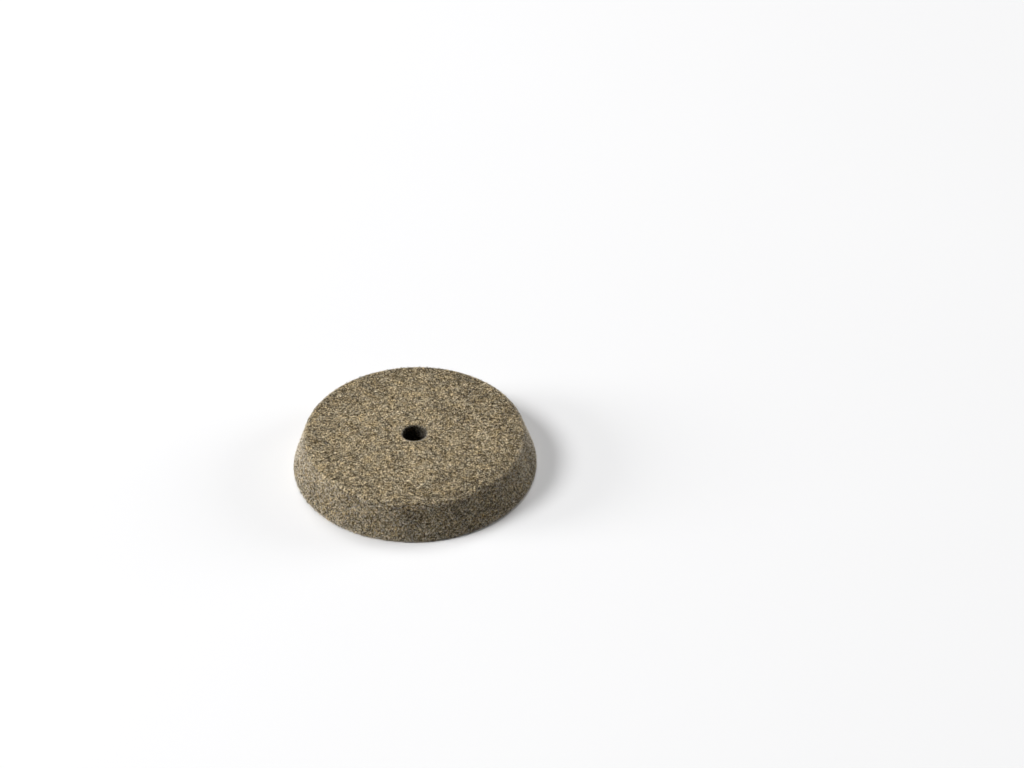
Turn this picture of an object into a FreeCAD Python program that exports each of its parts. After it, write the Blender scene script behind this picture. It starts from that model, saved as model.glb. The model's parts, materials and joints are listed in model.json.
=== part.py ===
"""Felt polishing wheel: one block of hard pressed felt, turned to a tapered disc and bored through.

The wheel lies on its wide face. The origin is the centre of that face, on the bore's axis, and +Z points
up the bore to the narrow face. Sizes are in millimetres and live in the Sizes spreadsheet.
"""

import FreeCAD
import Part
import math
import os

import Sketcher

# Driving dimensions: alias, value in millimetres, what it is.
SIZES = [
    ("BaseDiameter", 150.0, "wide face that the wheel lies on"),
    ("FaceDiameter", 134.8, "narrow face, across the rim before its edge is rounded"),
    ("Thickness", 24.0, "from wide face to narrow face"),
    ("LandHeight", 1.6, "straight band left above the wide face when the taper is turned"),
    ("BoreDiameter", 15.0, "hole for the spindle"),
    ("RimRadius", 0.9, "rounded edge of the narrow face"),
    ("LandRadius", 0.5, "rounded edge where the straight band meets the taper"),
    ("BaseRadius", 0.6, "rounded edge of the wide face"),
    ("BoreBreak", 0.4, "edge broken at each mouth of the bore"),
]
TOUCH = 1e-4  # two lengths nearer than this are the same
BORE_TOLERANCE = 0.001  # share by which the bored volume may differ from a plain cylinder's


def make_sizes(doc):
    """The spreadsheet that holds every driving dimension."""
    sheet = doc.addObject("Spreadsheet::Sheet", "Sizes")
    for row, (alias, value, meaning) in enumerate(SIZES, start=1):
        sheet.set(f"A{row}", str(value))
        sheet.setAlias(f"A{row}", alias)
        sheet.set(f"B{row}", meaning)
    doc.recompute()
    return sheet


def origin_feature(body, role):
    """One of the body's own origin planes or axes."""
    return next(f for f in body.Origin.OriginFeatures if f.Role == role)


def new_sketch(body, plane, name):
    """A sketch of this body, flat on one of its origin planes."""
    sketch = body.newObject("Sketcher::SketchObject", name)
    sketch.AttachmentSupport = [(origin_feature(body, plane), "")]
    sketch.MapMode = "FlatFace"
    return sketch


def bind(sketch, constraint, expression):
    """Adds a named constraint whose value follows the spreadsheet."""
    index = sketch.addConstraint(constraint[1])
    sketch.renameConstraint(index, constraint[0])
    sketch.setExpression(f"Constraints.{constraint[0]}", expression)


def turn_blank(body, sizes):
    """The turned outside: half of the cross-section, from the axis out, spun about the bore's axis."""
    half_base = sizes.BaseDiameter / 2
    half_face = sizes.FaceDiameter / 2
    land = sizes.LandHeight
    height = sizes.Thickness
    sketch = new_sketch(body, "XZ_Plane", "TurnedSection")
    # the base, the straight band, the taper, the narrow face and the axis
    corners = [(0, 0), (half_base, 0), (half_base, land), (half_face, height), (0, height)]
    lines = []
    for start, end in zip(corners, corners[1:] + corners[:1]):
        segment = Part.LineSegment(FreeCAD.Vector(*start, 0), FreeCAD.Vector(*end, 0))
        lines.append(sketch.addGeometry(segment, False))
    base, band, taper, face, axis = lines
    for line, following in zip(lines, lines[1:] + lines[:1]):
        sketch.addConstraint(Sketcher.Constraint("Coincident", line, 2, following, 1))
    sketch.addConstraint(Sketcher.Constraint("Coincident", base, 1, -1, 1))
    for line in (base, face):
        sketch.addConstraint(Sketcher.Constraint("Horizontal", line))
    for line in (band, axis):
        sketch.addConstraint(Sketcher.Constraint("Vertical", line))
    bind(sketch, ("HalfBase", Sketcher.Constraint("DistanceX", base, 1, base, 2, half_base)),
         "Sizes.BaseDiameter / 2")
    bind(sketch, ("HalfFace", Sketcher.Constraint("DistanceX", face, 2, face, 1, half_face)),
         "Sizes.FaceDiameter / 2")
    bind(sketch, ("Band", Sketcher.Constraint("DistanceY", band, 1, band, 2, land)),
         "Sizes.LandHeight")
    bind(sketch, ("Height", Sketcher.Constraint("DistanceY", axis, 2, axis, 1, height)),
         "Sizes.Thickness")
    blank = body.newObject("PartDesign::Revolution", "TurnedBlank")
    blank.Profile = sketch
    blank.ReferenceAxis = (sketch, ["V_Axis"])
    blank.Angle = 360
    sketch.Visibility = False
    return blank


def bore_through(body, sizes):
    """The spindle hole, cut from the wide face through the whole block."""
    sketch = new_sketch(body, "XY_Plane", "BoreCircle")
    circle = Part.Circle(FreeCAD.Vector(0, 0, 0), FreeCAD.Vector(0, 0, 1), sizes.BoreDiameter / 2)
    hole = sketch.addGeometry(circle, False)
    sketch.addConstraint(Sketcher.Constraint("Coincident", hole, 3, -1, 1))
    bind(sketch, ("Bore", Sketcher.Constraint("Diameter", hole, sizes.BoreDiameter)),
         "Sizes.BoreDiameter")
    bore = body.newObject("PartDesign::Pocket", "Bore")
    bore.Profile = sketch
    bore.Type = "ThroughAll"
    bore.Reversed = True
    sketch.Visibility = False
    return bore


def circle_edges(shape, places):
    """Names of the full circles that lie at the given (radius, height) places."""
    names = []
    for number, edge in enumerate(shape.Edges, start=1):
        curve = edge.Curve
        if not isinstance(curve, Part.Circle):
            continue
        here = (curve.Radius, curve.Center.z)
        if any(abs(here[0] - r) < TOUCH and abs(here[1] - z) < TOUCH for r, z in places):
            names.append(f"Edge{number}")
    if len(names) != len(places):
        raise RuntimeError(f"expected {len(places)} edges at {places}, found {names}")
    return names


def round_edge(body, name, base, place, size):
    """Rounds one circular edge to a radius from the spreadsheet."""
    fillet = body.newObject("PartDesign::Fillet", name)
    fillet.Base = (base, circle_edges(base.Shape, [place]))
    fillet.setExpression("Radius", f"Sizes.{size}")
    return fillet


def break_bore(body, base, places):
    """Breaks the sharp mouths of the bore, so that a spindle enters cleanly."""
    chamfer = body.newObject("PartDesign::Chamfer", "BoreMouths")
    chamfer.Base = (base, circle_edges(base.Shape, places))
    chamfer.setExpression("Size", "Sizes.BoreBreak")
    return chamfer


def make_felt_wheel(doc, sizes):
    """The whole wheel: a turned, bored and edge-rounded block of felt."""
    body = doc.addObject("PartDesign::Body", "felt_wheel")
    body.Label = "felt_wheel"
    half_base = sizes.BaseDiameter / 2
    half_face = sizes.FaceDiameter / 2
    half_bore = sizes.BoreDiameter / 2

    blank = turn_blank(body, sizes)
    doc.recompute()
    solid_volume = blank.Shape.Volume
    bore = bore_through(body, sizes)
    doc.recompute()
    removed = solid_volume - bore.Shape.Volume
    expected = math.pi * half_bore ** 2 * sizes.Thickness
    if abs(removed - expected) > expected * BORE_TOLERANCE:
        raise RuntimeError(f"the bore took {removed:.1f} mm3 and not {expected:.1f} mm3")

    rim = round_edge(body, "RimRound", bore, (half_face, sizes.Thickness), "RimRadius")
    doc.recompute()
    land = round_edge(body, "LandRound", rim, (half_base, sizes.LandHeight), "LandRadius")
    doc.recompute()
    foot = round_edge(body, "BaseRound", land, (half_base, 0.0), "BaseRadius")
    doc.recompute()
    break_bore(body, foot, [(half_bore, 0.0), (half_bore, sizes.Thickness)])
    doc.recompute()
    return body


def check(doc, parts):
    """Stops if any object failed to build, or a sub-part isn't one valid solid."""
    failed = [o.Label for o in doc.Objects if {"Invalid", "Error"} & set(o.State)]
    if failed:
        raise RuntimeError(f"these objects failed: {failed}")
    for part in parts:
        shape = part.Shape
        if shape.isNull() or not shape.isValid() or len(shape.Solids) != 1:
            raise RuntimeError(f"{part.Label} isn't one valid solid")
        box = shape.optimalBoundingBox(False, False)
        print(f"{part.Label}: {box.XLength:.2f} x {box.YLength:.2f} x {box.ZLength:.2f} mm,"
              f" {shape.Volume / 1000:.1f} cm3")


def main():
    doc = FreeCAD.newDocument("FeltPolishingWheel")
    sizes = make_sizes(doc)
    parts = [make_felt_wheel(doc, sizes)]
    doc.recompute()
    check(doc, parts)
    os.makedirs("parts", exist_ok=True)
    for part in parts:
        part.Shape.exportStep(os.path.join("parts", f"{part.Label}.step"))


main()
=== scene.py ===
"""Felt polishing wheel, shown as the real felt: a dense pressed body with wool matted over its skin.

The body is one block, turned to a taper and bored, as the real wheel is. Its skin is a mix of dark, tan and
cream wool. Lengths are in metres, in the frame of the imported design: the origin is the centre of the wide
face and +Z points up the bore.
"""

import json
import math
import random

import bmesh
import bpy
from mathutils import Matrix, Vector


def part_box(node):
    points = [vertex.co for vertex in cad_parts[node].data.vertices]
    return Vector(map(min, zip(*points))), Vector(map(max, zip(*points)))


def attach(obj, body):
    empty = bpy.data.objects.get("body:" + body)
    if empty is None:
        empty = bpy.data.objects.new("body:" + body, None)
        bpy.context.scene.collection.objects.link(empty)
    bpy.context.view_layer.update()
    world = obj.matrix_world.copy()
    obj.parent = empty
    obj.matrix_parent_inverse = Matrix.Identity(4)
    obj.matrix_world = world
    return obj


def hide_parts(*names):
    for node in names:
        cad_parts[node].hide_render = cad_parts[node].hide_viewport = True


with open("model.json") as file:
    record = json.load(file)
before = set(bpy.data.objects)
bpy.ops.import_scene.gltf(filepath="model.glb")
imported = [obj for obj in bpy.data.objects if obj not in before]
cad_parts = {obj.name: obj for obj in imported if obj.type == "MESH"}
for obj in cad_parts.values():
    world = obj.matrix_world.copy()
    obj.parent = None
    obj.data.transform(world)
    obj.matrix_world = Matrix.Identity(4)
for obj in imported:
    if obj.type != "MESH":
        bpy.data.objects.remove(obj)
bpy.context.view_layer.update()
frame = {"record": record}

bl_info = {
    "name": "Felt Polishing Wheel",
    "version": (1, 0, 0),
    "blender": (4, 5, 0),
    "location": "View3D > Sidebar > Felt Wheel",
    "description": "Builds a tapered polishing wheel of hard pressed felt on its packed design",
    "category": "Add Mesh",
}

MM = 0.001
NODE = "felt_wheel"
TOP_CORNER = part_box(NODE)[1]
BORE = next(m for m in frame["record"]["mounts"] if m["name"] == "bore")

# The body. Its skin rises and falls in soft clouds of these sizes.
BLANK_SIDES = 256  # flats round the turned blank, before its skin is made even
EVEN_SKIN = "even_skin"  # the body's mesh before it is roughened, that the wool is strewn over
LUMP_SIZE = 14 * MM
TUFT_SIZE = 3.2 * MM
GRAIN_SIZE = 1.4 * MM

# The wool. Lean is how far a strand stands up, in radians, and fuzz how far it reaches past the wheel.
STRAND_KINDS = 8
STRAND_STEPS = 5
HAIR_STEPS = 2
STRAND_CURL = 0.75  # most that a strand turns at each step, in radians
STRAND_ARCH = 0.16  # how steeply a strand leaves the skin
STRAND_TIP = 0.4  # width of a strand's tip beside its root
TABLE_GAP = 0.05 * MM
WOOL_LEAN = 0.12
WOOL_FUZZ = 0.25 * MM
HAIR_LEAN = 1.3
HAIR_FUZZ = 1.2 * MM
SEED_STEP = 100
HAIR_SEED = 811
WOOLS = (  # the wool, its lightness, and its thickness beside the usual
    ("dark", 0.10, 1.0),
    ("tan", 0.50, 1.0),
    ("cream", 0.92, 0.9),
)
HAIRS = (  # the zone, its number of hairs, and their length and thickness beside the usual
    ("face", 4000, 0.6, 0.4),
    ("flank", 13700, 1.0, 0.85),
    ("rim", 3000, 0.6, 0.4),
    ("foot", 4000, 0.7, 0.5),
    ("mouth", 400, 0.6, 0.4),
)

# The colour. Tone runs from 0, the dark wool, to 1, the cream wool; cells and clouds are counted in a metre.
BODY_FLECKS = 0.95  # how strongly the felt under the strands is flecked
STRAND_FLECKS = 0.75  # how strongly the strands take on the same flecks
FLECK_CELLS = 1500.0
FLECK_CURL = 1400.0
FINE_CLOUDS = 380.0
BROAD_CLOUDS = 75.0
HUE_CLOUDS = 170.0
BODY_TONE = (1.1, -0.10)  # stretch and shift of the body's own strands
STRAND_TONES = 0.3  # how far the strands of one wool differ
PAINTED_FALLOFF = 0.9  # how fast the felt darkens across the block, in tone for each metre: painted shade, standing in for light that falls off towards +X
RIM_DARKENING = 0.13  # how much darker the felt is made towards the rim and all down the side, in tone, set by distance from the axis alone
RIM_DARKENING_FROM = 42 * MM
RIM_DARKENING_TO = 67 * MM
PAINTED_BORE_SHADE = 0.15  # brightness left to the wool on the wall of the bore: painted shade deep in the hole
SHEEN = 0.4
MATTED_LAYERS = 5
MATTED_CELL = (0.62 * MM, 1.9 * MM, 0.62 * MM)  # a strand of the body's own pattern
STRAND_BUMP = 0.4 * MM

# The stage
TABLE_RADIUS = 3.5
ROOM_LIGHT = 0.02
ROOM_SEEN = 0.8  # brightness of the room behind the table
AIM = Vector((59.85, 80.0, 0)) * MM  # what the lights and the camera face
LIGHTS = (  # name, azimuth and elevation in degrees, distance, width, power
    ("high_window", 190, 42, 7.0, 2.6, 352),
    ("low_window", 184, 15, 7.0, 2.4, 275),
    ("ceiling", 90, 60, 8.0, 4.0, 276),
    ("far_wall", 16, 15, 8.0, 4.0, 275),
)
CAMERA_LENS = 87.68
CAMERA_SENSOR = 36
CAMERA_ELEVATION = 37.616
CAMERA_DISTANCE = 1.6077


class FeltWheelSizes(bpy.types.PropertyGroup):
    """Sizes of the wheel and of the wool on its skin."""

    base_radius: bpy.props.FloatProperty(
        name="Base radius", description="Wide face, that the wheel lies on",
        default=TOP_CORNER.x, unit="LENGTH")
    face_radius: bpy.props.FloatProperty(
        name="Face radius", description="Narrow face, across the rim before it is rounded",
        default=67.4 * MM, unit="LENGTH")
    thickness: bpy.props.FloatProperty(
        name="Thickness", description="From the wide face to the narrow face",
        default=TOP_CORNER.z, unit="LENGTH")
    bore_radius: bpy.props.FloatProperty(
        name="Bore radius", description="Hole for the spindle",
        default=BORE["dims"]["r_mm"] * MM, unit="LENGTH")
    land: bpy.props.FloatProperty(
        name="Land", description="Straight band above the wide face",
        default=1.6 * MM, unit="LENGTH")
    rim_round: bpy.props.FloatProperty(
        name="Rim round", description="Rounded edge of the narrow face",
        default=0.5 * MM, unit="LENGTH")
    base_round: bpy.props.FloatProperty(
        name="Base round", description="Rounded edge of the wide face",
        default=0.6 * MM, unit="LENGTH")
    wool_depth: bpy.props.FloatProperty(
        name="Wool depth",
        description="Room left for the loose wool between the body and the wheel's full size",
        default=0.25 * MM, unit="LENGTH")
    mouth_round: bpy.props.FloatProperty(
        name="Mouth round", description="Worn edge at each end of the bore",
        default=0.7 * MM, unit="LENGTH")
    mesh_step: bpy.props.FloatProperty(
        name="Mesh step", description="Spacing of the points on the skin",
        default=0.72 * MM, unit="LENGTH")
    lump: bpy.props.FloatProperty(
        name="Lumps", description="Rise and fall of the pressed skin over a few centimetres",
        default=0.14 * MM, unit="LENGTH")
    tuft: bpy.props.FloatProperty(
        name="Tufts", description="Rise and fall of the skin over small tufts of wool",
        default=0.15 * MM, unit="LENGTH")
    grain: bpy.props.FloatProperty(
        name="Grain", description="Finest rise and fall of the skin's own shape",
        default=0.15 * MM, unit="LENGTH")
    strand_radius: bpy.props.FloatProperty(
        name="Strand radius", description="Half the thickness of a strand of wool",
        default=0.12 * MM, unit="LENGTH")
    strand_length: bpy.props.FloatProperty(
        name="Strand length", description="Usual length of a strand that lies on the skin",
        default=1.9 * MM, unit="LENGTH")
    hair_length: bpy.props.FloatProperty(
        name="Hair length", description="Usual length of a loose hair that stands off an edge",
        default=1.0 * MM, unit="LENGTH")


class FeltWheelColours(bpy.types.PropertyGroup):
    """Colours of the wool in the felt and of the table."""

    dark: bpy.props.FloatVectorProperty(
        name="Dark wool", description="Darkest wool in the mix", subtype="COLOR",
        default=(0.030, 0.021, 0.0105))
    brown: bpy.props.FloatVectorProperty(
        name="Brown wool", description="Brown wool in the mix", subtype="COLOR",
        default=(0.180, 0.135, 0.067))
    tan: bpy.props.FloatVectorProperty(
        name="Tan wool", description="The most common wool in the mix", subtype="COLOR",
        default=(0.405, 0.318, 0.176))
    cream: bpy.props.FloatVectorProperty(
        name="Cream wool", description="Palest wool in the mix", subtype="COLOR",
        default=(0.900, 0.755, 0.500))
    # The loose hairs are real fuzz; their pale colour is painted sheen, the brightness that fuzz shows when
    # seen edge-on.
    hair: bpy.props.FloatVectorProperty(
        name="Loose hair", description="Bleached tips of the hairs that stand off the skin", subtype="COLOR",
        default=(0.880, 0.820, 0.715))
    table: bpy.props.FloatVectorProperty(
        name="Table", description="The plain floor that the wheel lies on", subtype="COLOR",
        default=(0.90, 0.90, 0.905))


# Working steps that several operators share


def deselect_all():
    """Leaves nothing selected, so that an operator acts on the new piece alone."""
    if bpy.context.object and bpy.context.object.mode != "OBJECT":
        bpy.ops.object.mode_set(mode="OBJECT")
    bpy.ops.object.select_all(action="DESELECT")


def take_hold(piece):
    """Makes the piece the only selected one and the active one."""
    deselect_all()
    piece.select_set(True)
    bpy.context.view_layer.objects.active = piece


def pick(kind, test):
    """In edit mode, selects only the faces or edges whose middle and direction pass the test."""
    bpy.ops.mesh.select_mode(type=kind)
    bpy.ops.mesh.select_all(action="DESELECT")
    mesh = bmesh.from_edit_mesh(bpy.context.object.data)
    for item in mesh.faces if kind == "FACE" else mesh.edges:
        if kind == "FACE":
            chosen = test(item.calc_center_median(), item.normal)
        else:
            one, two = (v.co for v in item.verts)
            chosen = test((one + two) / 2, (two - one).normalized())
        item.select_set(chosen)
    mesh.select_flush_mode()
    bmesh.update_edit_mesh(bpy.context.object.data)


def apply_modifier(piece, kind, name, **settings):
    """Adds a modifier to the piece with these settings and applies it."""
    take_hold(piece)
    modifier = piece.modifiers.new(name, kind)
    for key, value in settings.items():
        setattr(modifier, key, value)
    bpy.ops.object.modifier_apply(modifier=modifier.name)


def ease(value, start, end):
    """How far the value has gone from start to end, kept between 0 and 1."""
    return min(1.0, max(0.0, (value - start) / (end - start)))


# The body


def turn_blank(sizes):
    """The turned blank: a short straight band, a taper up to the narrow face, and the bore."""
    base_radius = sizes.base_radius - sizes.wool_depth
    face_radius = sizes.face_radius - sizes.wool_depth
    thickness = sizes.thickness - sizes.wool_depth
    bore_radius = sizes.bore_radius + sizes.wool_depth
    deselect_all()
    bpy.ops.mesh.primitive_cylinder_add(
        vertices=BLANK_SIDES, radius=base_radius, depth=sizes.land, end_fill_type="NGON",
        location=(0, 0, sizes.land / 2))
    body = bpy.context.object
    body.name = "felt_body"
    bpy.ops.object.transform_apply(location=True, rotation=True, scale=True)
    bpy.ops.object.mode_set(mode="EDIT")

    # The top face is drawn up to the narrow face and taken in to its radius.
    pick("FACE", lambda middle, normal: normal.z > 0.9)
    bpy.ops.mesh.extrude_region_move(TRANSFORM_OT_translate={"value": (0, 0, thickness - sizes.land)})
    taken_in = face_radius / base_radius
    bpy.ops.transform.resize(value=(taken_in, taken_in, 1), center_override=(0, 0, thickness))

    # The bore: both flat faces are inset to its radius, opened and joined by a wall.
    pick("FACE", lambda middle, normal: normal.z > 0.9)
    bpy.ops.mesh.inset(thickness=face_radius - bore_radius)
    pick("FACE", lambda middle, normal: normal.z < -0.9)
    bpy.ops.mesh.inset(thickness=base_radius - bore_radius)
    pick("FACE", lambda middle, normal: abs(normal.z) > 0.9 and middle.xy.length < bore_radius / 2)
    bpy.ops.mesh.delete(type="ONLY_FACE")
    pick("EDGE", lambda middle, along: middle.xy.length < bore_radius * 1.1
         and abs(along.dot(middle.normalized())) < 0.5)
    bpy.ops.mesh.bridge_edge_loops()

    # The outer edges and the mouths of the bore are rounded.
    pick("EDGE", lambda middle, along: middle.z > thickness * 0.99 and abs(along.z) < 0.1
         and middle.xy.length > face_radius * 0.98)
    bpy.ops.mesh.bevel(offset=sizes.rim_round, segments=4, affect="EDGES")
    pick("EDGE", lambda middle, along: middle.z < sizes.land * 0.01 and abs(along.z) < 0.1
         and middle.xy.length > base_radius * 0.98)
    bpy.ops.mesh.bevel(offset=sizes.base_round, segments=3, affect="EDGES")
    pick("EDGE", lambda middle, along: middle.xy.length < bore_radius * 1.02
         and abs(along.dot(middle.xy.to_3d().normalized())) < 0.1 and abs(along.z) < 0.1)
    bpy.ops.mesh.bevel(offset=sizes.mouth_round, segments=3, affect="EDGES")
    bpy.ops.mesh.select_all(action="SELECT")
    bpy.ops.mesh.normals_make_consistent(inside=False)
    bpy.ops.object.mode_set(mode="OBJECT")
    return body


def taper(sizes):
    """How much the flank's radius shrinks for each length that it rises."""
    return (sizes.base_radius - sizes.face_radius) / (sizes.thickness - sizes.land)


def weigh_zones(body, sizes):
    """Vertex groups for the skin's freedom to move and for each zone that wool is strewn over."""

    def flank_depth(reach, height):
        """How far a point lies inside the tapered flank."""
        return sizes.base_radius - taper(sizes) * max(0.0, height - sizes.land) - reach

    zones = {
        "skin": lambda reach, height: ease(height, 0.2 * MM, 1.5 * MM)
        * max(0.3, ease(reach, sizes.bore_radius, sizes.bore_radius + 2 * MM)),
        "face": lambda reach, height: ease(height, sizes.thickness - 0.5 * MM, sizes.thickness - 0.3 * MM)
        * ease(reach, sizes.bore_radius + 0.4 * MM, sizes.bore_radius + 1.2 * MM)
        * (1 - ease(reach, sizes.face_radius - 2.2 * MM, sizes.face_radius - 1.0 * MM)),
        "flank": lambda reach, height: (1 - ease(flank_depth(reach, height), 0.6 * MM, 0.9 * MM))
        * (1 - ease(height, sizes.thickness - 1.8 * MM, sizes.thickness - 1.0 * MM))
        * ease(height, 0.5 * MM, 1.2 * MM),
        "rim": lambda reach, height: ease(reach, sizes.face_radius - 2.2 * MM, sizes.face_radius - 1.2 * MM)
        * ease(height, sizes.thickness - 2.0 * MM, sizes.thickness - 1.2 * MM),
        "foot": lambda reach, height: ease(reach, sizes.base_radius - 1.0 * MM, sizes.base_radius - 0.5 * MM)
        * (1 - ease(height, 1.8 * MM, 2.6 * MM)) * ease(height, 0.1 * MM, 0.3 * MM),
        "mouth": lambda reach, height:
        (1 - ease(reach, sizes.bore_radius + 0.6 * MM, sizes.bore_radius + 1.2 * MM))
        * ease(height, sizes.thickness - 1.4 * MM, sizes.thickness - 0.8 * MM),
    }
    body.vertex_groups.clear()
    for name, weight in zones.items():
        group = body.vertex_groups.new(name=name)
        for vertex in body.data.vertices:
            share = weight(vertex.co.xy.length, vertex.co.z)
            if share > 0:
                group.add([vertex.index], share, "REPLACE")


def clouds(name, size, depth):
    """A soft cloud texture for shaping the skin."""
    texture = bpy.data.textures.new(name, "CLOUDS")
    texture.noise_basis = "ORIGINAL_PERLIN"
    texture.noise_scale = size
    texture.noise_depth = depth
    return texture


def roughen_skin(body, sizes):
    """Gives the body an even mesh, then the lumps, tufts and grain of pressed wool."""
    apply_modifier(body, "REMESH", "Even mesh", mode="VOXEL", voxel_size=sizes.mesh_step)
    weigh_zones(body, sizes)
    even_skin = body.data.copy()
    even_skin.name = EVEN_SKIN
    for name, size, depth, height in (
        ("Lumps", LUMP_SIZE, 2, sizes.lump),
        ("Tufts", TUFT_SIZE, 1, sizes.tuft),
        ("Grain", GRAIN_SIZE, 0, sizes.grain),
    ):
        apply_modifier(
            body, "DISPLACE", name, texture=clouds(name, size, depth), texture_coords="GLOBAL",
            vertex_group="skin", strength=height, mid_level=0.5)
    take_hold(body)
    bpy.ops.object.shade_smooth()


class WHEEL_OT_felt_body(bpy.types.Operator):
    """Turn, bore and roughen the block of pressed felt"""

    bl_idname = "wheel.felt_body"
    bl_label = "Felt Body"

    def execute(self, context):
        sizes, colours = context.scene.felt_wheel_sizes, context.scene.felt_wheel_colours
        body = turn_blank(sizes)
        roughen_skin(body, sizes)
        body.data.materials.append(pressed_felt(colours, sizes))
        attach(body, "root")
        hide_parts(NODE)
        return {"FINISHED"}


# The wool on the skin


def model_strand(name, sizes, length, thickness, steps, seed):
    """One curled strand of wool that starts at the origin and lies along +X, arched off the skin."""
    draw = random.Random(seed)
    deselect_all()
    bpy.ops.mesh.primitive_circle_add(
        vertices=3, radius=sizes.strand_radius * thickness, fill_type="NGON", rotation=(0, math.pi / 2, 0))
    strand = bpy.context.object
    strand.name = name
    bpy.ops.object.transform_apply(location=True, rotation=True, scale=True)
    bpy.ops.object.mode_set(mode="EDIT")
    bpy.ops.mesh.select_all(action="SELECT")
    tip, heading = Vector(), 0.0
    for step in range(steps):
        turn = draw.uniform(-STRAND_CURL, STRAND_CURL)
        heading += turn
        rise = STRAND_ARCH * math.cos(math.pi * (step + 0.5) / steps)
        stride = Vector((math.cos(heading), math.sin(heading), rise)) * length / steps
        bpy.ops.mesh.extrude_region_move(TRANSFORM_OT_translate={"value": stride})
        tip += stride
        bpy.ops.transform.rotate(value=-turn, orient_axis="Z", center_override=tip)
    bpy.ops.transform.resize(value=(STRAND_TIP,) * 3, center_override=tip)
    bpy.ops.mesh.select_all(action="SELECT")
    bpy.ops.mesh.normals_make_consistent(inside=False)
    bpy.ops.object.mode_set(mode="OBJECT")
    bpy.ops.object.shade_smooth()
    return strand


def strand_kinds(name, sizes, length, thickness, steps, seed):
    """A collection of differently curled strands, kept out of the scene."""
    kinds = bpy.data.collections.new(name)
    for number in range(STRAND_KINDS):
        strand = model_strand(f"{name}_{number}", sizes, length, thickness, steps, seed + number)
        kinds.objects.link(strand)
        bpy.context.scene.collection.objects.unlink(strand)
    return kinds


def strewing_group(sizes, kinds, mask, density, lean, fuzz, seed):
    """A node group that strews strands over the part of the skin that the mask weighs."""
    group = bpy.data.node_groups.new("strew_wool", "GeometryNodeTree")
    for way in ("INPUT", "OUTPUT"):
        group.interface.new_socket("Geometry", in_out=way, socket_type="NodeSocketGeometry")
    nodes = Nodes(group)
    skin = nodes.add("NodeGroupInput").outputs[0]
    weight = nodes.add("GeometryNodeInputNamedAttribute", {"Name": mask}, data_type="FLOAT").outputs[0]
    points = nodes.add(
        "GeometryNodeDistributePointsOnFaces",
        {"Mesh": skin, "Density": nodes.math("MULTIPLY", weight, density), "Seed": seed})
    turn = nodes.add(
        "FunctionNodeRandomValue",
        {0: (0, -lean, 0), 1: (0, -lean * 0.2, 2 * math.pi), "Seed": seed + 1}, data_type="FLOAT_VECTOR")
    turn = nodes.add("FunctionNodeEulerToRotation", {0: turn.outputs[0]})
    facing = nodes.add(
        "FunctionNodeRotateRotation",
        {"Rotation": points.outputs["Rotation"], "Rotate By": turn.outputs[0]}, rotation_space="LOCAL")
    size = nodes.add("FunctionNodeRandomValue", {2: 0.6, 3: 1.3, "Seed": seed + 2}, data_type="FLOAT")
    source = nodes.add(
        "GeometryNodeCollectionInfo",
        {"Collection": kinds, "Separate Children": True, "Reset Children": True})
    strands = nodes.add(
        "GeometryNodeInstanceOnPoints",
        {"Points": points.outputs["Points"], "Instance": source.outputs[0], "Pick Instance": True,
         "Rotation": facing.outputs[0], "Scale": size.outputs[1]})
    tone = nodes.add("FunctionNodeRandomValue", {2: 0.0, 3: 1.0, "Seed": seed + 3}, data_type="FLOAT")
    toned = nodes.add(
        "GeometryNodeStoreNamedAttribute",
        {"Geometry": strands.outputs[0], "Name": "tone", "Value": tone.outputs[1]},
        data_type="FLOAT", domain="INSTANCE")
    wool = nodes.add("GeometryNodeRealizeInstances", {0: toned.outputs[0]})

    # What would reach out past the wheel's shape, into the bore or through the table is pressed back.
    place = nodes.add("GeometryNodeInputPosition").outputs[0]
    height = nodes.add("ShaderNodeSeparateXYZ", {0: place}).outputs[2]
    height = nodes.math("MINIMUM", nodes.math("MAXIMUM", height, TABLE_GAP), sizes.thickness + fuzz)
    level = nodes.level(place)
    reach = nodes.reach(place)
    rise = nodes.math("MAXIMUM", nodes.math("SUBTRACT", height, sizes.land), 0.0)
    outermost = nodes.math("MULTIPLY_ADD", rise, -taper(sizes), sizes.base_radius + fuzz)
    pressed = nodes.math("MAXIMUM", nodes.math("MINIMUM", reach, outermost), sizes.bore_radius)
    drawn = nodes.add(
        "ShaderNodeVectorMath", {0: level, "Scale": nodes.math("DIVIDE", pressed, reach)}, operation="SCALE")
    across = nodes.add("ShaderNodeSeparateXYZ", {0: drawn.outputs[0]}).outputs
    matted = nodes.add("ShaderNodeCombineXYZ", {0: across[0], 1: across[1], 2: height})
    laid = nodes.add("GeometryNodeSetPosition", {"Geometry": wool.outputs[0], "Position": matted.outputs[0]})
    nodes.add("NodeGroupOutput", {0: laid.outputs[0]})
    return group


def zone_area(piece, mask):
    """Area of the piece's skin that the mask weighs."""
    index = piece.vertex_groups[mask].index
    weights = [next((g.weight for g in v.groups if g.group == index), 0.0) for v in piece.data.vertices]
    return sum(
        face.area * sum(weights[v] for v in face.vertices) / len(face.vertices)
        for face in piece.data.polygons)


def strew_wool(piece_name, kinds, mask, count, lean, fuzz, material, seed):
    """A piece of about this many strands, strewn over one zone of the even skin."""
    piece = bpy.data.objects.new(piece_name, bpy.data.meshes[EVEN_SKIN].copy())
    bpy.context.scene.collection.objects.link(piece)
    density = count / zone_area(piece, mask)
    sizes = bpy.context.scene.felt_wheel_sizes
    apply_modifier(
        piece, "NODES", "Strew wool",
        node_group=strewing_group(sizes, kinds, mask, density, lean, fuzz, seed))
    piece.vertex_groups.clear()
    piece.data.materials.clear()
    piece.data.materials.append(material)
    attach(piece, "root")
    return piece


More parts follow.
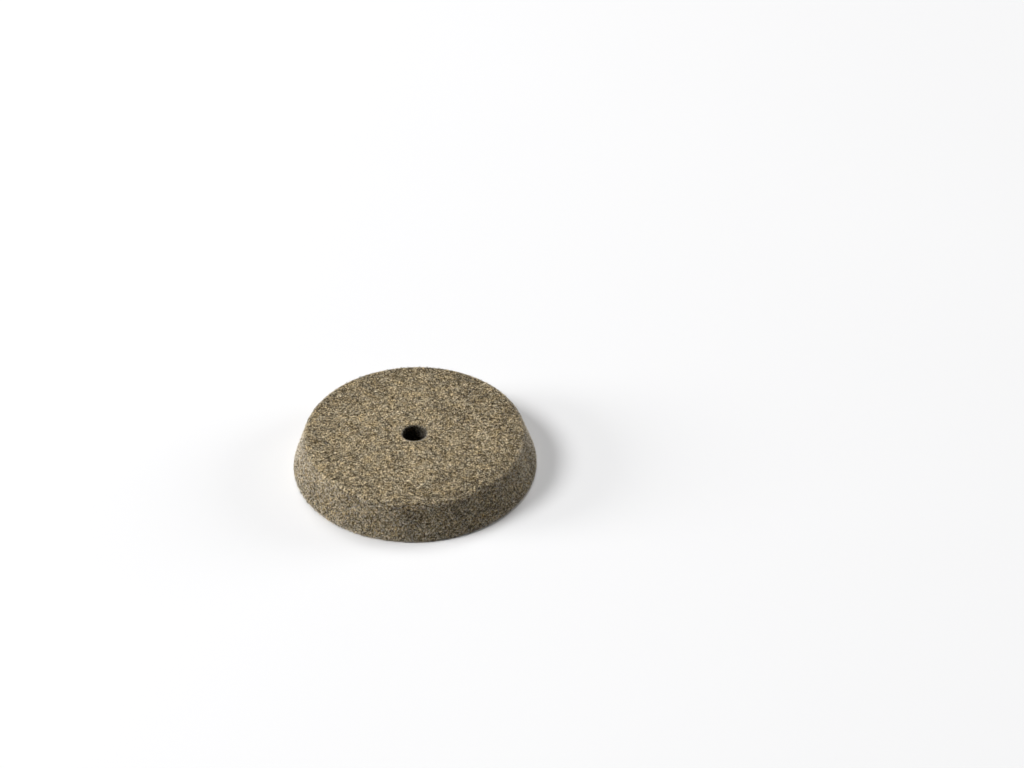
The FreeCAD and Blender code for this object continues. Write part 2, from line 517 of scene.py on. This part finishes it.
def strew_three_wools(context, zone, count, shift, seed):
    """Dark, tan and cream wool over one zone, each as a piece of its own, all made lighter by the shift."""
    sizes, colours = context.scene.felt_wheel_sizes, context.scene.felt_wheel_colours
    for number, (wool, lightness, thickness) in enumerate(WOOLS):
        draw = seed + SEED_STEP * number
        kinds = strand_kinds(
            f"{zone}_{wool}_kind", sizes, sizes.strand_length, thickness, STRAND_STEPS, draw)
        strew_wool(
            f"{zone}_wool_{wool}", kinds, zone, count, WOOL_LEAN, WOOL_FUZZ,
            wool_material(f"{zone}_{wool}", colours, lightness + shift), draw)


class WHEEL_OT_face_wool(bpy.types.Operator):
    """Mat strands of wool over the narrow face"""

    bl_idname = "wheel.face_wool"
    bl_label = "Face Wool"

    def execute(self, context):
        strew_three_wools(context, "face", count=6000, shift=-0.10, seed=11)
        return {"FINISHED"}


class WHEEL_OT_flank_wool(bpy.types.Operator):
    """Mat strands of wool over the tapered flank"""

    bl_idname = "wheel.flank_wool"
    bl_label = "Flank Wool"

    def execute(self, context):
        strew_three_wools(context, "flank", count=5600, shift=-0.16, seed=411)
        return {"FINISHED"}


class WHEEL_OT_loose_hairs(bpy.types.Operator):
    """Stand short hairs off the skin, and thickest off its edges; their pale colour is painted sheen"""

    bl_idname = "wheel.loose_hairs"
    bl_label = "Loose Hairs"

    def execute(self, context):
        sizes, colours = context.scene.felt_wheel_sizes, context.scene.felt_wheel_colours
        hair = hair_material(colours)
        for number, (zone, count, length, thickness) in enumerate(HAIRS):
            draw = HAIR_SEED + SEED_STEP * number
            kinds = strand_kinds(
                f"{zone}_hair_kind", sizes, sizes.hair_length * length, thickness, HAIR_STEPS, draw)
            strew_wool(f"{zone}_hairs", kinds, zone, count, HAIR_LEAN, HAIR_FUZZ, hair, draw)
        return {"FINISHED"}


# Materials


class Nodes:
    """Adds nodes to a tree and joins them, so that a material reads from top to bottom."""

    def __init__(self, tree):
        self.tree = tree

    def add(self, kind, inputs=None, **settings):
        """A node of this kind, with its settings, and its inputs set or joined by name or number."""
        node = self.tree.nodes.new(kind)
        for key, value in settings.items():
            setattr(node, key, value)
        for key, value in (inputs or {}).items():
            if isinstance(value, bpy.types.NodeSocket):
                self.tree.links.new(value, node.inputs[key])
            else:
                node.inputs[key].default_value = value
        return node

    def math(self, operation, one, two=0.0, three=0.0):
        """The outcome of one sum on numbers or sockets."""
        return self.add("ShaderNodeMath", {0: one, 1: two, 2: three}, operation=operation).outputs[0]

    def mix(self, factor, one, two):
        """One number at factor 0, the other at factor 1."""
        return self.add("ShaderNodeMix", {0: factor, 2: one, 3: two}, data_type="FLOAT").outputs[0]

    def noise(self, place, scale, detail):
        """A noise texture's level."""
        return self.add(
            "ShaderNodeTexNoise", {"Vector": place, "Scale": scale, "Detail": detail}).outputs["Fac"]

    def level(self, place):
        """The place brought down to the height of the origin."""
        return self.add("ShaderNodeVectorMath", {0: place, 1: (1, 1, 0)}, operation="MULTIPLY").outputs[0]

    def reach(self, place):
        """Distance of each point from the bore's axis."""
        return self.add("ShaderNodeVectorMath", {0: self.level(place)}, operation="LENGTH").outputs["Value"]

    def tinted(self, one, two):
        """One colour multiplied by another."""
        return self.add(
            "ShaderNodeMix", {0: 1.0, 6: one, 7: two}, data_type="RGBA", blend_type="MULTIPLY").outputs[2]

    def ramp(self, factor, stops):
        """A colour ramp through stops, each a place from 0 to 1 and a colour."""
        node = self.add("ShaderNodeValToRGB", {0: factor})
        elements = node.color_ramp.elements
        elements.remove(elements[1])
        elements[0].position = stops[0][0]
        elements[0].color = (*stops[0][1], 1)
        for place, colour in stops[1:]:
            elements.new(place).color = (*colour, 1)
        return node.outputs[0]


def new_material(name):
    """An empty material's tree helper and its Principled shader, already joined to the output."""
    material = bpy.data.materials.new(name)
    material.use_nodes = True
    material.node_tree.nodes.clear()
    nodes = Nodes(material.node_tree)
    shader = nodes.add("ShaderNodeBsdfPrincipled")
    nodes.add("ShaderNodeOutputMaterial", {"Surface": shader.outputs[0]})
    return material, nodes, shader


def curl(nodes, place, scale, reach):
    """The place shifted about by a noise of this scale, so that cells laid out on it curl."""
    bend = nodes.add("ShaderNodeTexNoise", {"Vector": place, "Scale": scale, "Detail": 1.0})
    shift = nodes.add(
        "ShaderNodeVectorMath", {0: bend.outputs["Color"], 1: (0.5, 0.5, 0.5)}, operation="SUBTRACT")
    small = nodes.add("ShaderNodeVectorMath", {0: shift.outputs[0], "Scale": reach}, operation="SCALE")
    return nodes.add("ShaderNodeVectorMath", {0: place, 1: small.outputs[0]}, operation="ADD").outputs[0]


def matted_strands(nodes, place):
    """Short strands that cross every way: the tone of the strand on top, and how high it stands."""
    curled = curl(nodes, place, 500.0, 1.6 * MM)
    top_tone, top_height = None, None
    for turn in range(MATTED_LAYERS):
        tilt = math.radians(0 if turn % 2 else 50)
        layer = nodes.add(
            "ShaderNodeMapping",
            {"Vector": curled, "Location": (turn, turn, turn), "Rotation": (tilt, 0, math.radians(38 * turn)),
             "Scale": MATTED_CELL}, vector_type="TEXTURE")
        cell = nodes.add("ShaderNodeTexVoronoi", {"Vector": layer.outputs[0], "Scale": 1.0})
        parts = nodes.add("ShaderNodeSeparateColor", {0: cell.outputs["Color"]})
        crown = nodes.math("SUBTRACT", 1.0, cell.outputs["Distance"])
        height = nodes.math("MULTIPLY_ADD", parts.outputs[1], 0.5, crown)
        if top_tone is None:
            top_tone, top_height = parts.outputs[0], height
        else:
            over = nodes.math("GREATER_THAN", height, top_height)
            top_tone = nodes.mix(over, top_tone, parts.outputs[0])
            top_height = nodes.math("MAXIMUM", top_height, height)
    return top_tone, top_height


def wool_colour(nodes, place, colours, tone, flecks):
    """Colour of the mixed wool, and its tone: flecked, clouded, darker towards the rim and down the side,
    darker towards +X as painted shade of light falling off, with some drift of hue.
    """
    curled = curl(nodes, place, FLECK_CURL, 1.5 * MM)
    fleck = nodes.add("ShaderNodeTexVoronoi", {"Vector": curled, "Scale": FLECK_CELLS})
    fleck = nodes.add("ShaderNodeSeparateColor", {0: fleck.outputs["Color"]})
    for level, share in (
        (fleck.outputs[0], flecks),
        (nodes.noise(place, FINE_CLOUDS, 2.0), 0.25),
        (nodes.noise(place, BROAD_CLOUDS, 3.0), 0.55),
    ):
        tone = nodes.math("ADD", tone, nodes.math("MULTIPLY_ADD", level, share, -share / 2))
    # The felt is made darker from a set distance out to the rim and all down the side, by distance from the
    # axis alone.
    outward_darkening = nodes.add(
        "ShaderNodeMapRange",
        {"Value": nodes.reach(place), "From Min": RIM_DARKENING_FROM, "From Max": RIM_DARKENING_TO, "To Max": RIM_DARKENING})
    tone = nodes.math("SUBTRACT", tone, outward_darkening.outputs[0])
    # Painted shade: the felt darkens towards +X, standing in for light that falls off across the wheel.
    across = nodes.add("ShaderNodeSeparateXYZ", {0: place}).outputs[0]
    tone = nodes.math("MULTIPLY_ADD", across, -PAINTED_FALLOFF, tone)
    wool = nodes.ramp(tone, (
        (0.0, colours.dark), (0.32, colours.brown), (0.60, colours.tan), (1.0, colours.cream)))
    drift = nodes.ramp(
        nodes.noise(place, HUE_CLOUDS, 2.0), ((0.3, (0.96, 1.0, 1.10)), (0.7, (1.05, 1.0, 0.90))))
    return nodes.tinted(wool, drift), tone


def pressed_felt(colours, sizes):
    """Hard pressed felt: matted strands of dark to cream wool, with painted shade darkening the wall of the
    bore.
    """
    material, nodes, shader = new_material("pressed_felt")
    place = nodes.add("ShaderNodeTexCoord").outputs["Object"]
    strand_tone, strand_height = matted_strands(nodes, place)
    tone = nodes.math("MULTIPLY_ADD", strand_tone, *BODY_TONE)
    wool, tone = wool_colour(nodes, place, colours, tone, BODY_FLECKS)

    # Painted shade: the wall of the bore is darkened, standing in for the shade deep in the hole.
    bore_shade_level = nodes.add(
        "ShaderNodeMapRange",
        {"Value": nodes.reach(place),
         "From Min": sizes.bore_radius + 0.3 * MM, "From Max": sizes.bore_radius + 1.0 * MM,
         "To Min": PAINTED_BORE_SHADE, "To Max": 1.0})
    shade = nodes.add("ShaderNodeCombineColor", {0: bore_shade_level.outputs[0], 1: bore_shade_level.outputs[0], 2: bore_shade_level.outputs[0]})
    nodes.tree.links.new(nodes.tinted(wool, shade.outputs[0]), shader.inputs["Base Color"])

    rough = nodes.add("ShaderNodeMapRange", {"Value": tone, "To Min": 0.98, "To Max": 0.88})
    nodes.tree.links.new(rough.outputs[0], shader.inputs["Roughness"])
    bump = nodes.add("ShaderNodeBump", {"Height": strand_height, "Strength": 1.0, "Distance": STRAND_BUMP})
    nodes.tree.links.new(bump.outputs[0], shader.inputs["Normal"])
    soften(shader)
    return material


def wool_material(name, colours, lightness):
    """Strands of one wool, each its own shade about this lightness, flecked and clouded like the felt."""
    material, nodes, shader = new_material(f"{name}_wool")
    place = nodes.add("ShaderNodeTexCoord").outputs["Object"]
    tone = nodes.add("ShaderNodeAttribute", attribute_name="tone").outputs["Fac"]
    tone = nodes.math("MULTIPLY_ADD", tone, STRAND_TONES, lightness - STRAND_TONES / 2)
    wool = wool_colour(nodes, place, colours, tone, STRAND_FLECKS)[0]
    nodes.tree.links.new(wool, shader.inputs["Base Color"])
    shader.inputs["Roughness"].default_value = 0.9
    soften(shader)
    return material


def hair_material(colours):
    """Loose hairs, each its own shade from tan to pale; the pale colour is painted sheen, the brightness of
    fuzz seen edge-on.
    """
    material, nodes, shader = new_material("loose_hair")
    place = nodes.add("ShaderNodeTexCoord").outputs["Object"]
    tone = nodes.add("ShaderNodeAttribute", attribute_name="tone").outputs["Fac"]
    drift = nodes.math("MULTIPLY_ADD", nodes.noise(place, FINE_CLOUDS, 2.0), 0.6, -0.3)
    tone = nodes.math("ADD", tone, drift)
    hair = nodes.ramp(tone, ((0.0, colours.tan), (0.5, colours.hair)))
    nodes.tree.links.new(hair, shader.inputs["Base Color"])
    shader.inputs["Roughness"].default_value = 0.9
    soften(shader)
    return material


def soften(shader):
    """The dull, slightly fuzzy look of wool."""
    shader.inputs["Specular IOR Level"].default_value = 0.15
    shader.inputs["Sheen Weight"].default_value = SHEEN
    shader.inputs["Sheen Roughness"].default_value = 0.35
    shader.inputs["Sheen Tint"].default_value = (1.0, 0.97, 0.92, 1)


# The stage


def table_material(colours):
    """A plain matt white table, with the faintest change of tone."""
    material, nodes, shader = new_material("plain_table")
    place = nodes.add("ShaderNodeTexCoord").outputs["Object"]
    table = tuple(colours.table)
    duller = tuple(0.99 * part for part in table)
    tone = nodes.ramp(nodes.noise(place, 3.0, 2.0), ((0.3, duller), (0.7, table)))
    nodes.tree.links.new(tone, shader.inputs["Base Color"])
    shader.inputs["Roughness"].default_value = 0.7
    shader.inputs["Specular IOR Level"].default_value = 0.1
    return material


def soft_light(name, azimuth, elevation, distance, width, power):
    """A round area light that faces the aim; azimuth turns from +X to +Y."""
    data = bpy.data.lights.new(name, "AREA")
    data.shape = "DISK"
    data.size = width
    data.energy = power
    light = bpy.data.objects.new(name, data)
    bpy.context.scene.collection.objects.link(light)
    turn, rise = math.radians(azimuth), math.radians(elevation)
    away = Vector((math.cos(turn) * math.cos(rise), math.sin(turn) * math.cos(rise), math.sin(rise)))
    light.location = AIM + away * distance
    light.rotation_euler = away.to_track_quat("Z", "Y").to_euler()


class WHEEL_OT_stage(bpy.types.Operator):
    """Lay the plain table and place the soft lights and the camera"""

    bl_idname = "wheel.stage"
    bl_label = "Stage"

    def execute(self, context):
        scene, colours = context.scene, context.scene.felt_wheel_colours
        deselect_all()
        bpy.ops.mesh.primitive_circle_add(
            vertices=96, radius=TABLE_RADIUS, fill_type="NGON", location=(0, 0, 0))
        table = context.object
        table.name = "table"
        table.data.materials.append(table_material(colours))

        world = bpy.data.worlds.new("plain_room")
        world.use_nodes = True
        world.node_tree.nodes.clear()
        nodes = Nodes(world.node_tree)
        lighting = nodes.add("ShaderNodeBackground", {"Color": (1, 1, 1, 1), "Strength": ROOM_LIGHT})
        seen = nodes.add("ShaderNodeBackground", {"Color": (1, 1, 1, 1), "Strength": ROOM_SEEN})
        ray = nodes.add("ShaderNodeLightPath")
        room = nodes.add(
            "ShaderNodeMixShader",
            {0: ray.outputs["Is Camera Ray"], 1: lighting.outputs[0], 2: seen.outputs[0]})
        nodes.add("ShaderNodeOutputWorld", {"Surface": room.outputs[0]})
        scene.world = world

        for light in LIGHTS:
            soft_light(*light)

        data = bpy.data.cameras.new("camera")
        data.lens = CAMERA_LENS
        data.sensor_width = CAMERA_SENSOR
        camera = bpy.data.objects.new("camera", data)
        scene.collection.objects.link(camera)
        rise = math.radians(CAMERA_ELEVATION)
        back = Vector((0, -math.cos(rise), math.sin(rise)))
        camera.location = AIM + back * CAMERA_DISTANCE
        camera.rotation_euler = back.to_track_quat("Z", "Y").to_euler()
        scene.camera = camera
        scene.view_settings.view_transform = "Standard"
        return {"FINISHED"}


class WHEEL_PT_felt_wheel(bpy.types.Panel):
    """Sidebar panel with the steps of the build"""

    bl_idname = "WHEEL_PT_felt_wheel"
    bl_label = "Felt Wheel"
    bl_space_type = "VIEW_3D"
    bl_region_type = "UI"
    bl_category = "Felt Wheel"

    def draw(self, context):
        for cls in OPERATORS:
            self.layout.operator(cls.bl_idname)


OPERATORS = (
    WHEEL_OT_felt_body, WHEEL_OT_face_wool, WHEEL_OT_flank_wool, WHEEL_OT_loose_hairs, WHEEL_OT_stage)
CLASSES = (FeltWheelSizes, FeltWheelColours, *OPERATORS, WHEEL_PT_felt_wheel)


def register():
    """Adds the classes and gives the scene its sizes and colours."""
    for cls in CLASSES:
        bpy.utils.register_class(cls)
    bpy.types.Scene.felt_wheel_sizes = bpy.props.PointerProperty(type=FeltWheelSizes)
    bpy.types.Scene.felt_wheel_colours = bpy.props.PointerProperty(type=FeltWheelColours)


def unregister():
    """Takes away what register added."""
    del bpy.types.Scene.felt_wheel_colours
    del bpy.types.Scene.felt_wheel_sizes
    for cls in reversed(CLASSES):
        bpy.utils.unregister_class(cls)


def main():
    """Builds the wheel and its stage."""
    register()
    bpy.ops.wheel.felt_body()
    bpy.ops.wheel.face_wool()
    bpy.ops.wheel.flank_wool()
    bpy.ops.wheel.loose_hairs()
    bpy.ops.wheel.stage()


if __name__ == "__main__":
    main()
